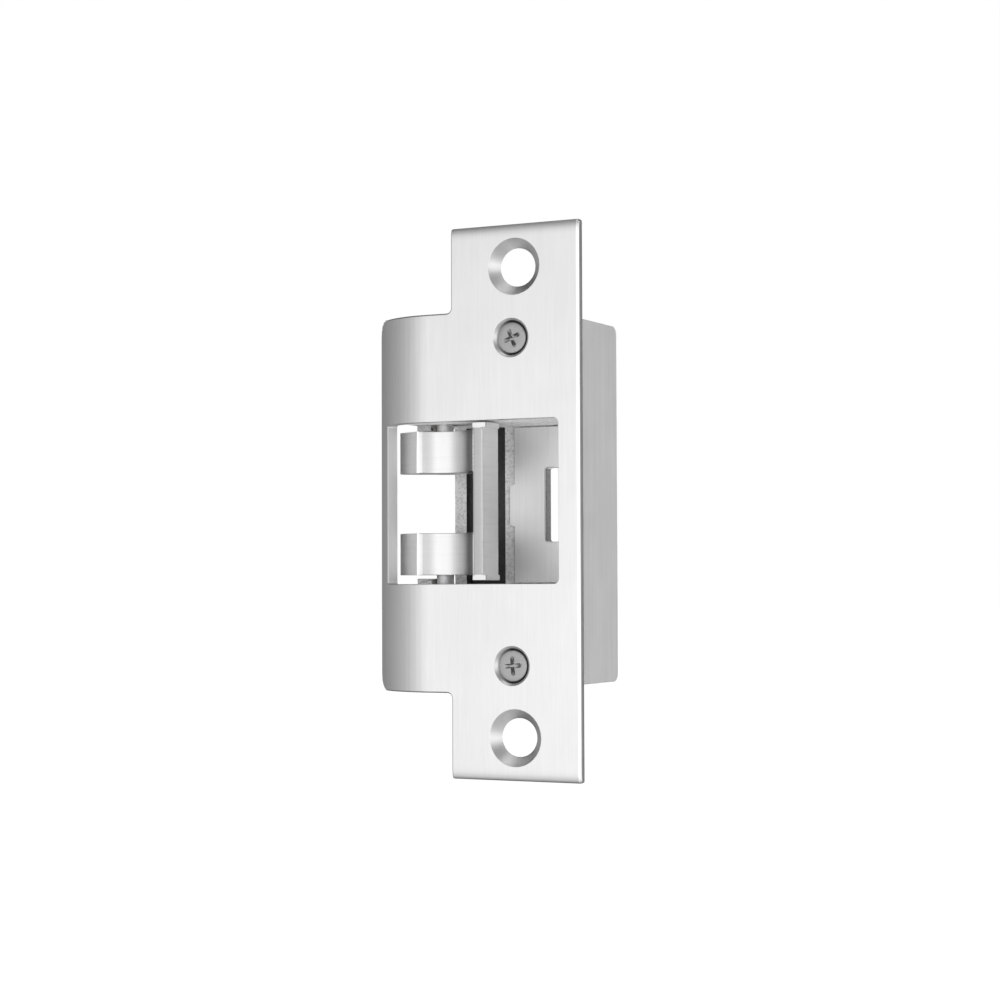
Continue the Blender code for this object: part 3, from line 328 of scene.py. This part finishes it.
def make_materials():
    upright = (1, 1, 0.04)
    sideways = (0.04, 1, 1)
    steel_grey = (0.72, 0.72, 0.72)
    return {
        "stainless": brushed_metal("stainless_finish", steel_grey, 0.36, upright, sideways, spots=plate_rim_and_painted_light),
        # The liner's colour is raised above the plate's as painted light, to make up for the light that the deep
        # pocket lacks.
        "liner": brushed_metal("liner_finish", (0.95, 0.95, 0.95), 0.62, (1, 1, 0.03), spots=liner_edge_painted_shade),
        "keeper": brushed_metal("keeper_finish", steel_grey, 0.34, (0.03, 0.03, 1), spots=keeper_painted_light),
        "case_metal": case_material(),
        # The zinc's edges are brightened strongly: partly worn, partly painted light on the facets of the cross
        # recess.
        "zinc": plain_metal("zinc_finish", (0.4, 0.4, 0.405), 0.44, 0.2, 2200, 0.5, 0.5),
        "steel": plain_metal("steel_finish", (0.8, 0.8, 0.81), 0.56, 0.06, 3800, 0.22),
        "bronze": plain_metal("bronze_finish", (0.5, 0.34, 0.18), 0.42, 0.18, 3000, 0.5),
        "spring_wire": brushed_metal("spring_finish", (0.42, 0.42, 0.44), 0.28, (1, 1, 0.3), None, 0.1, 0.3),
        "winding": plain_metal("winding_finish", (0.62, 0.26, 0.1), 0.28, 0.1, 1500, 0.15),
        "nylon": plastic("nylon_finish", (0.028, 0.028, 0.03), 0.46, 2600, 0.35),
        "brass": plain_metal("brass_finish", (0.72, 0.53, 0.24), 0.26, 0.07, 2800, 0.2),
        "red_lead": plastic("red_lead_finish", (0.5, 0.03, 0.02), 0.42, 1800, 0.2),
        "black_lead": plastic("black_lead_finish", (0.02, 0.02, 0.022), 0.42, 1800, 0.2),
    }


MATERIALS = make_materials()


# ---------------------------------------------------------------- mesh helpers


def make_object(name, bm, finish):
    """Turns a bmesh in metres into an object with smooth round faces and weighted normals."""
    bmesh.ops.recalc_face_normals(bm, faces=bm.faces)
    mesh = bpy.data.meshes.new(name)
    bm.to_mesh(mesh)
    bm.free()
    mesh.shade_smooth()
    mesh.set_sharp_from_angle(angle=math.radians(50))
    mesh.materials.append(MATERIALS[finish])
    obj = bpy.data.objects.new(name, mesh)
    bpy.context.scene.collection.objects.link(obj)
    weighted = obj.modifiers.new("weighted_normals", "WEIGHTED_NORMAL")
    weighted.keep_sharp = True
    return obj


BODY_OF = {name: body for body, names in frame["record"]["behaviour"]["bodies"].items() for name in names}


def install(obj, name):
    """Puts a finished piece in place of its CAD node, on the same body."""
    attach(obj, BODY_OF[name])
    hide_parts(name)
    return obj


def any_edge(edge):
    return True


def clean_solid(name, flat=0.5, weld=WELD):
    """A CAD solid as a bmesh, welded and with its flat faces joined."""
    bm = bmesh.new()
    bm.from_mesh(frame["nodes"][name].data)
    bmesh.ops.remove_doubles(bm, verts=bm.verts, dist=weld)
    bmesh.ops.dissolve_limit(bm, angle_limit=math.radians(flat), verts=bm.verts, edges=bm.edges)
    return bm


def edge_key(edge):
    return tuple(sorted(tuple(round(c, 7) for c in vert.co) for vert in edge.verts))


def round_edges(bm, rounds, sharp=28):
    """Rounds the edges. rounds holds (width, test) pairs, and the first test that an edge meets counts."""
    taken = set()
    for width, test in rounds:
        edges = []
        for edge in bm.edges:
            if len(edge.link_faces) != 2 or edge.calc_face_angle(0) < math.radians(sharp):
                continue
            if edge_key(edge) not in taken and test(edge):
                edges.append(edge)
        made = bmesh.ops.bevel(
            bm, geom=edges, offset=width * MM, offset_type="OFFSET", segments=2, profile=0.5, affect="EDGES"
        )
        taken.update(edge_key(edge) for edge in {edge for face in made["faces"] for edge in face.edges})


def from_solid(name, finish, rounds):
    """A finished piece from a CAD solid."""
    bm = clean_solid(name)
    round_edges(bm, rounds)
    return install(make_object(f"{name}_model", bm, finish), name)


def turned(profile, steps, close=False):
    """Spins (radius, distance) points about Z as a closed solid; an end on the axis closes to one face."""
    bm = bmesh.new()
    verts = [bm.verts.new((radius, 0, along)) for radius, along in profile]
    edges = [bm.edges.new(pair) for pair in zip(verts, verts[1:])]
    if close:
        edges.append(bm.edges.new((verts[-1], verts[0])))
    bmesh.ops.spin(
        bm, geom=verts + edges, cent=(0, 0, 0), axis=(0, 0, 1), angle=math.tau, steps=steps, use_merge=True
    )
    bmesh.ops.remove_doubles(bm, verts=bm.verts, dist=1e-4)
    bmesh.ops.recalc_face_normals(bm, faces=bm.faces)
    return bm


def placed(bm, matrix):
    """Moves a bmesh drawn in millimetres into place, and turns it into metres."""
    bmesh.ops.transform(bm, matrix=Matrix.Scale(MM, 4) @ matrix, verts=bm.verts)
    return bm


def carve(bm, cutter):
    """Cuts one closed bmesh from another, and returns the result as a bmesh."""
    objects = []
    for name, source in (("carve_target", bm), ("carve_tool", cutter)):
        mesh = bpy.data.meshes.new(name)
        source.to_mesh(mesh)
        source.free()
        obj = bpy.data.objects.new(name, mesh)
        bpy.context.scene.collection.objects.link(obj)
        objects.append(obj)
    modifier = objects[0].modifiers.new("carve", "BOOLEAN")
    modifier.operation = "DIFFERENCE"
    modifier.object = objects[1]
    graph = bpy.context.evaluated_depsgraph_get()
    result = bpy.data.meshes.new_from_object(objects[0].evaluated_get(graph))
    made = bmesh.new()
    made.from_mesh(result)
    for obj in objects:
        bpy.data.objects.remove(obj, do_unlink=True)
    bpy.data.meshes.remove(result)
    return made


def cross_cutter(head, twist):
    """A tapered cross for a screw head, drawn point down below Z 0, that rounds off at its ends."""
    bm = bmesh.new()
    rings = []
    for depth, arm, half in (
        (-0.3, head * 0.6, head * 0.15),
        (0.0, head * 0.56, head * 0.14),
        (head * 0.22, head * 0.36, head * 0.1),
        (head * 0.36, head * 0.16, head * 0.07),
    ):
        ring = []
        for quarter in range(4):
            turn = Matrix.Rotation(math.radians(90 * quarter + twist), 3, "Z")
            soft = half * 0.45
            corners = [(half, half), (arm - soft, half), (arm, half - soft), (arm, soft - half)]
            corners.append((arm - soft, -half))
            for u, v in corners:
                ring.append(bm.verts.new(turn @ Vector((u, v, 0)) + Vector((0, 0, -depth))))
        rings.append(ring)
    count = len(rings[0])
    # Each quarter's points run clockwise, so the ring is put in order of angle.
    order = sorted(range(count), key=lambda i: math.atan2(rings[1][i].co.y, rings[1][i].co.x))
    rings = [[ring[i] for i in order] for ring in rings]
    for low, high in zip(rings, rings[1:]):
        for i in range(count):
            j = (i + 1) % count
            bm.faces.new((low[i], low[j], high[j], high[i]))
    bm.faces.new(rings[0])
    bm.faces.new(rings[-1])
    bmesh.ops.recalc_face_normals(bm, faces=bm.faces)
    return bm


def screw(name, place, direction, head, shank, length, twist):
    """A countersunk cross-head screw with a rolled thread. direction is the way that its head looks."""
    thread = 0.5
    bite = shank * 0.13
    rim = head - 0.12
    profile = [(0, 0), (head * 0.62, 0), (rim - 0.34, -0.01), (rim - 0.14, -0.06)]
    profile += [(rim - 0.04, -0.16), (rim, -0.3)]
    neck = head - shank
    profile += [(rim, -0.42), (shank, -neck - 0.1), (shank, -neck - 0.35)]
    along = neck + 0.6
    while along < length - 1.0:
        profile += [(shank - bite, -along), (shank, -along - thread * 0.5)]
        along += thread
    profile += [(shank - bite, -length + 0.4), (shank * 0.62, -length), (0, -length)]
    bm = carve(turned(profile, 40), cross_cutter(head, twist))
    turn = Vector((0, 0, 1)).rotation_difference(Vector(direction)).to_matrix().to_4x4()
    placed(bm, Matrix.Translation(place) @ turn)
    return install(make_object(f"{name}_model", bm, "zinc"), name)


def sweep(points, radius, sides, tip=0.5):
    """A round wire along points, with its ends eased off, as a closed mesh in metres."""
    bm = bmesh.new()
    points = [Vector(point) for point in points]
    heading = (points[1] - points[0]).normalized()
    side = heading.orthogonal().normalized()
    rings = []
    last = len(points) - 1
    for index, point in enumerate(points):
        ahead = points[min(index + 1, last)] - points[max(index - 1, 0)]
        turn = heading.rotation_difference(ahead.normalized())
        heading = ahead.normalized()
        side = (turn @ side).normalized()
        other = heading.cross(side)
        rings.append([])
        for step in range(sides):
            angle = math.tau * step / sides
            out = side * math.cos(angle) + other * math.sin(angle)
            rings[-1].append((point, out, heading))
    ends = [(0, -1), (last, 1)]
    shells = [[bm.verts.new((p + out * radius) * MM) for p, out, _ in ring] for ring in rings]
    for index, sign in ends:
        cap = [
            bm.verts.new((p + out * radius * 0.55 + way * sign * radius * tip) * MM)
            for p, out, way in rings[index]
        ]
        if sign < 0:
            shells.insert(0, cap)
        else:
            shells.append(cap)
    for low, high in zip(shells, shells[1:]):
        for i in range(sides):
            j = (i + 1) % sides
            bm.faces.new((low[i], low[j], high[j], high[i]))
    bm.faces.new(shells[0])
    bm.faces.new(shells[-1])
    return bm


def smooth_route(points, steps):
    """A Catmull-Rom curve through points, with the first and last tangents along their own runs."""
    knots = [Vector(point) for point in points]
    knots = [2 * knots[0] - knots[1], *knots, 2 * knots[-1] - knots[-2]]
    route = []
    for a, b, c, d in zip(knots, knots[1:], knots[2:], knots[3:]):
        for step in range(steps):
            t = step / steps
            cubic = (3 * b - a - 3 * c + d) * t**3
            route.append(0.5 * (2 * b + (c - a) * t + (2 * a - 5 * b + 4 * c - d) * t**2 + cubic))
    return [*route, knots[-2]]


def torsion_spring(name, centre, radius, wire, low, turns, start, hand, legs):
    """The CAD spring again, with a rounder wire and finer turns, and its legs eased into the coil."""
    pitch = wire * 2 + 0.15
    sweep_angle = hand * turns * math.tau
    steps = int(turns * 40)
    coil = []
    for step in range(steps + 1):
        angle = math.radians(start) + sweep_angle * step / steps
        height = low + pitch * turns * step / steps
        coil.append(Vector((centre[0] + radius * math.cos(angle), centre[1] + radius * math.sin(angle), height)))
    first = math.radians(start)
    last = first + sweep_angle
    lower = coil[0] + hand * legs[0] * Vector((math.sin(first), -math.cos(first), 0))
    upper = coil[-1] + hand * legs[1] * Vector((-math.sin(last), math.cos(last), 0))
    lead = [lower.lerp(coil[0], t) for t in (0, 0.3, 0.6, 0.85)]
    tail = [coil[-1].lerp(upper, t) for t in (0.15, 0.4, 0.7, 1)]
    bm = sweep([*lead, *coil, *tail], wire, 12, tip=0.0)
    return install(make_object(f"{name}_model", bm, "spring_wire"), name)


# ---------------------------------------------------------------- pieces


def span(edge, axis):
    a, b = edge.verts
    return min(a.co[axis], b.co[axis]) / MM, max(a.co[axis], b.co[axis]) / MM


def in_window(edge):
    """An edge of the plate's window or of one of its holes."""
    low, high = span(edge, 2)
    x_low, x_high = span(edge, 0)
    return -18.4 < low and high < 18.4 and x_high < 10.9 and x_low > -40


def cut_across(bm, level):
    """Splits the faces at a height in millimetres, and leaves the shape as it is."""
    everything = [*bm.verts, *bm.edges, *bm.faces]
    bmesh.ops.bisect_plane(bm, geom=everything, plane_co=(0, 0, level * MM), plane_no=(0, 0, 1))


def true_lip(bm):
    """Cuts the lip into narrow strips and puts them on its true curve, about an axis at LIP_AXIS."""
    for level in (18.6, 24.0, 29.0, 34.5):
        for sign in (1, -1):
            cut_across(bm, sign * level)
    centre = Vector((*LIP_AXIS, 0)) * MM
    for step in range(26):
        turn = math.radians(2.5 * step + 0.3)
        along = Vector((-math.cos(turn), math.sin(turn), 0))
        bmesh.ops.bisect_plane(bm, geom=[*bm.verts, *bm.edges, *bm.faces], plane_co=centre, plane_no=along)
    for vert in bm.verts:
        out = vert.co - centre
        out.z = 0
        if vert.co.x < centre.x and out.y < 0:
            for radius in LIP_RADII:
                if abs(out.length / MM - radius) < 0.06:
                    vert.co += out * (radius * MM / out.length - 1)


def beside_opening(edge):
    """The upright edge of the way through the case, behind a pivot."""
    return all(abs(vert.co.x / MM + 27.5) < 0.2 and abs(vert.co.y / MM - 24.1) < 0.2 for vert in edge.verts)


def at_crest(edge):
    """The upright edge where an arm's hollow meets its tail."""
    return all(abs(vert.co.x / MM + 27.5) < 0.1 and abs(vert.co.y / MM - 5.44) < 0.1 for vert in edge.verts)


def build_plate():
    def hole(edge):
        x_low, x_high = span(edge, 0)
        z_low, z_high = span(edge, 2)
        near = min(abs(abs(z_low) - 52.4), abs(abs(z_low) - 36.5))
        return near < 7 and abs(x_low) < 7 and abs(x_high) < 7

    def right_front(edge):
        return all(vert.co.x > 15.8 * MM and vert.co.y < 0.01 * MM for vert in edge.verts)

    bm = clean_solid("faceplate", 2.0, 1e-5)
    true_lip(bm)
    round_edges(bm, [(0.12, in_window), (0.1, hole), (0.6, right_front), (0.4, any_edge)])
    # Linishing has rolled the front off towards the end of each tab.
    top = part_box("faceplate")[1].z / MM
    reach = 3.0
    for sign in (1, -1):
        for inset in (0.7, 1.1, 1.6, 2.3, reach):
            cut_across(bm, sign * (top - inset))
    for vert in bm.verts:
        inset = top - abs(vert.co.z) / MM
        if inset < reach and vert.co.y < 1.0 * MM:
            vert.co.y += 0.4 * (1 - inset / reach) ** 3 * MM
    return install(make_object("faceplate_model", bm, "stainless"), "faceplate")


def build_screws():
    for word, side in (("upper", 1), ("lower", -1)):
        twist = 22 if side == 1 else 4
        screw(f"{word}_faceplate_screw", (-0.8, 0.5, side * 36.5), (0, -1, 0), 3.65, 1.9, 10.0, twist)
        for hand, x, z in (("left", -26.2, 36.2), ("right", 8.8, 21.7)):
            twist += 37
            screw(f"{word}_cover_screw_{hand}", (x, 26.55, side * z), (0, 1, 0), 2.1, 1.0, 7.0, twist)
    for hand, x in (("left", -3.0), ("right", 7.0)):
        screw(f"solenoid_screw_{hand}", (x, 18.9, 40.6), (0, 0, 1), 2.5, 1.2, 5.0, 15 if x < 0 else 63)


def build_coil():
    """Layer wound wire: a groove between each turn and the next, round the bobbin."""
    low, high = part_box("coil")
    start, end = low.x / MM, high.x / MM
    outer = (high.z - low.z) / 2 / MM
    bore = 3.75
    turns = 26
    pitch = (end - start) / turns
    profile = [(bore, start), (outer - pitch * 0.5, start)]
    for turn in range(turns):
        for step in range(1, 6):
            angle = math.pi * step / 6
            along = start + pitch * (turn + 0.5 - 0.5 * math.cos(angle))
            profile.append((outer - pitch * 0.5 * (1 - math.sin(angle)), along))
    profile += [(outer - pitch * 0.5, end), (bore, end)]
    bm = turned(profile, 48, close=True)
    centre = (low + high) / 2 / MM
    turn = Matrix.Rotation(math.radians(90), 4, "Y")
    placed(bm, Matrix.Translation((0, centre.y, centre.z)) @ turn)
    return install(make_object("coil_model", bm, "winding"), "coil")


def build_leads():
    drop = 29.9
    for word, x in (("a", 6.4), ("b", 9.2)):
        route = [(x, 8.6, drop), (x, 8.7, drop - 1.4), (x - 0.5, 10.1, drop - 3.0), (x - 1.2, 12.75, drop - 2.2)]
        finish = "red_lead" if word == "a" else "black_lead"
        name = f"coil_lead_{word}"
        bm = sweep(smooth_route(route, 12), 0.45, 16, tip=0.0)
        install(make_object(f"{name}_model", bm, finish), name)


def build_contacts():
    for word, x in (("a", 6.4), ("b", 9.2)):
        low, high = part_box(f"contact_{word}")
        bottom, top = low.z / MM, high.z / MM
        profile = [(0, bottom), (0.42, bottom), (0.5, bottom + 0.1), (0.5, top - 0.9)]
        profile += [(0.46, top - 0.5), (0.34, top - 0.18), (0.18, top - 0.03), (0, top)]
        bm = placed(turned(profile, 24), Matrix.Translation((x, 8.6, 0)))
        install(make_object(f"contact_{word}_model", bm, "brass"), f"contact_{word}")


def build_pieces():
    build_plate()
    from_solid("case", "case_metal", [(0.03, beside_opening), (0.18, any_edge)])
    from_solid("pocket_liner", "liner", [(0.2, any_edge)])
    from_solid("keeper", "keeper", [(0.4, at_crest), (0.12, any_edge)])
    for name, finish, width in (
        ("upper_rear_cover", "case_metal", 0.15),
        ("lower_rear_cover", "case_metal", 0.15),
        ("upper_keeper_shaft", "steel", 0.2),
        ("lower_pivot_pin", "steel", 0.2),
        ("upper_bush", "bronze", 0.12),
        ("lower_bush", "bronze", 0.12),
        ("keeper_cam", "steel", 0.12),
        ("shaft_clip", "steel", 0.08),
        ("pin_clip", "steel", 0.08),
        ("lever_clip", "steel", 0.08),
        ("spring_collar", "zinc", 0.1),
        ("locking_lever", "steel", 0.12),
        ("lever_pin", "steel", 0.15),
        ("solenoid_frame", "steel", 0.12),
        ("bobbin", "nylon", 0.08),
        ("core", "steel", 0.1),
        ("plunger", "steel", 0.12),
        ("link_pin", "steel", 0.12),
        ("connector_housing", "nylon", 0.1),
    ):
        from_solid(name, finish, [(width, any_edge)])
    build_screws()
    build_coil()
    build_leads()
    build_contacts()
    torsion_spring("keeper_spring", (-23.7, 12.0), 3.0, 0.4, -26.6, 4, 270, -1, (5.0, 4.6))
    torsion_spring("lever_spring", (-12.5, 13.5), 3.1, 0.3, 23.6, 4.25, 90, 1, (4.8, 7.3))


build_pieces()


# ---------------------------------------------------------------- studio


def build_floor():
    """A wide pale floor under the strike, just below its lower end."""
    bm = bmesh.new()
    half = 3.0
    level = cad_box[0].z - 0.0004
    cells = 24
    grid = bmesh.ops.create_grid(bm, x_segments=cells, y_segments=cells, size=half)
    for vert in grid["verts"]:
        vert.co.z = level
    mesh = bpy.data.meshes.new("studio_floor")
    bm.to_mesh(mesh)
    bm.free()
    floor = bpy.data.objects.new("studio_floor", mesh)
    bpy.context.scene.collection.objects.link(floor)
    made, tree, shader = new_material("studio_floor_finish", Roughness=0.9)
    shader.inputs["Specular IOR Level"].default_value = 0.0
    place = node(tree, "TexCoord")["Object"]
    paper = noise(tree, place, 900, 2.0, 0.5)
    inputs = {0: (0.3, 0.3, 0.3), "Scale": spread(tree, paper, 0.99, 1.01)}
    tree.links.new(node(tree, "VectorMath", inputs, operation="SCALE")[0], shader.inputs["Base Color"])
    shader.inputs["Emission Color"].default_value = (1, 1, 1, 1)
    shader.inputs["Emission Strength"].default_value = 0.96
    mesh.materials.append(made)
    floor.visible_glossy = False


def ramp(tree, value, low, high, stops, peak):
    """A smooth curve of brightness through (position, brightness) stops, from low to high."""
    inputs = {"Value": value, "From Min": low, "From Max": high}
    place = node(tree, "MapRange", inputs)[0]
    made = tree.nodes.new("ShaderNodeValToRGB")
    tree.links.new(place, made.inputs[0])
    made.color_ramp.interpolation = "EASE"
    elements = made.color_ramp.elements
    elements.remove(elements[1])
    for index, (position, brightness) in enumerate(stops):
        spot = (position - low) / (high - low)
        if index == 0:
            elements[0].position = spot
            element = elements[0]
        else:
            element = elements.new(spot)
        element.color = (brightness / peak, brightness / peak, brightness / peak, 1)
    return calc(tree, "MULTIPLY", made.outputs[0], peak)


# The tent's brightness by compass bearing from straight in front, positive to the right.
ROUND_TENT = (
    (-180, 0.45), (-162, 0.48), (-142, 0.3), (-122, 0.26), (-107, 0.33), (-90, 0.42), (-75, 0.51), (-59, 0.66),
    (-46, 0.9), (-38, 1.12), (-33, 1.27), (-28, 1.4), (-22, 1.58), (-10, 1.5), (6, 1.5), (20, 1.75),
    (30, 1.35), (39, 1.06), (58, 1.08), (70, 1.6), (112, 1.6), (128, 0.95), (142, 0.2), (158, 0.12),
    (180, 0.45),
)  # fmt: skip
# The share of it that is left at each elevation.
UP_TENT = (
    (-90, 0.4), (-45, 0.42), (-30, 0.5), (-20, 0.66), (-11, 0.98), (-4, 1.08), (3, 1.03), (9, 0.98),
    (15, 0.7), (22, 0.36), (35, 0.24), (60, 0.3), (90, 0.45),
)  # fmt: skip


def build_world():
    """White to the camera; to everything else, a light tent that is bright in front and to the right."""
    world = bpy.data.worlds.new("light_tent")
    bpy.context.scene.world = world
    world.use_nodes = True
    world.cycles.sampling_method = "NONE"
    tree = world.node_tree
    tree.nodes.clear()
    way = node(tree, "SeparateXYZ", {0: node(tree, "TexCoord")["Generated"]})
    bearing = calc(tree, "ARCTAN2", way["X"], calc(tree, "MULTIPLY", way["Y"], -1.0))
    bearing = calc(tree, "DEGREES", bearing)
    height = calc(tree, "DEGREES", calc(tree, "ARCSINE", way["Z"]))
    around = ramp(tree, bearing, -180, 180, ROUND_TENT, 1.8)
    up = ramp(tree, height, -90, 90, UP_TENT, 1.5)
    tent = node(tree, "Background", {"Color": (1, 1, 1, 1), "Strength": calc(tree, "MULTIPLY", around, up)})[0]
    paper = node(tree, "Background", {"Color": (1, 1, 1, 1), "Strength": 1.0})[0]
    seen = node(tree, "LightPath")["Is Camera Ray"]
    mixed = node(tree, "MixShader", {0: seen, 1: tent, 2: paper})[0]
    tree.links.new(mixed, tree.nodes.new("ShaderNodeOutputWorld").inputs["Surface"])


def add_light(name, place, size, power):
    light = bpy.data.lights.new(name, "AREA")
    light.shape = "RECTANGLE"
    light.size, light.size_y = size
    light.energy = power
    obj = bpy.data.objects.new(name, light)
    bpy.context.scene.collection.objects.link(obj)
    obj.location = place
    obj.rotation_euler = (-Vector(place)).to_track_quat("-Z", "Y").to_euler()
    return obj


def build_lights():
    add_light("top_softbox", (0.0, -0.1, 1.2), (0.8, 0.8), 1.2)


def build_camera():
    yaw = math.radians(26.56)
    pitch = math.radians(2.15)
    roll = math.radians(-0.20)
    ahead = Vector((-math.sin(yaw) * math.cos(pitch), math.cos(yaw) * math.cos(pitch), math.sin(pitch)))
    right = Vector((math.cos(yaw), math.sin(yaw), 0))
    up = right.cross(ahead)
    turned_right = math.cos(roll) * right + math.sin(roll) * up
    turned_up = -math.sin(roll) * right + math.cos(roll) * up
    data = bpy.data.cameras.new("studio_camera")
    data.sensor_width = 36.0
    data.lens = 81.216
    data.clip_start = 0.01
    data.clip_end = 50.0
    camera = bpy.data.objects.new("studio_camera", data)
    bpy.context.scene.collection.objects.link(camera)
    camera.matrix_world = (
        Matrix.Translation((0.2208, -0.4488, -0.0185))
        @ Matrix((turned_right, turned_up, -ahead)).transposed().to_4x4()
    )
    bpy.context.scene.camera = camera


build_floor()
build_world()
build_lights()
build_camera()
bpy.context.scene.view_settings.view_transform = "Standard"

bpy.context.view_layer.update()
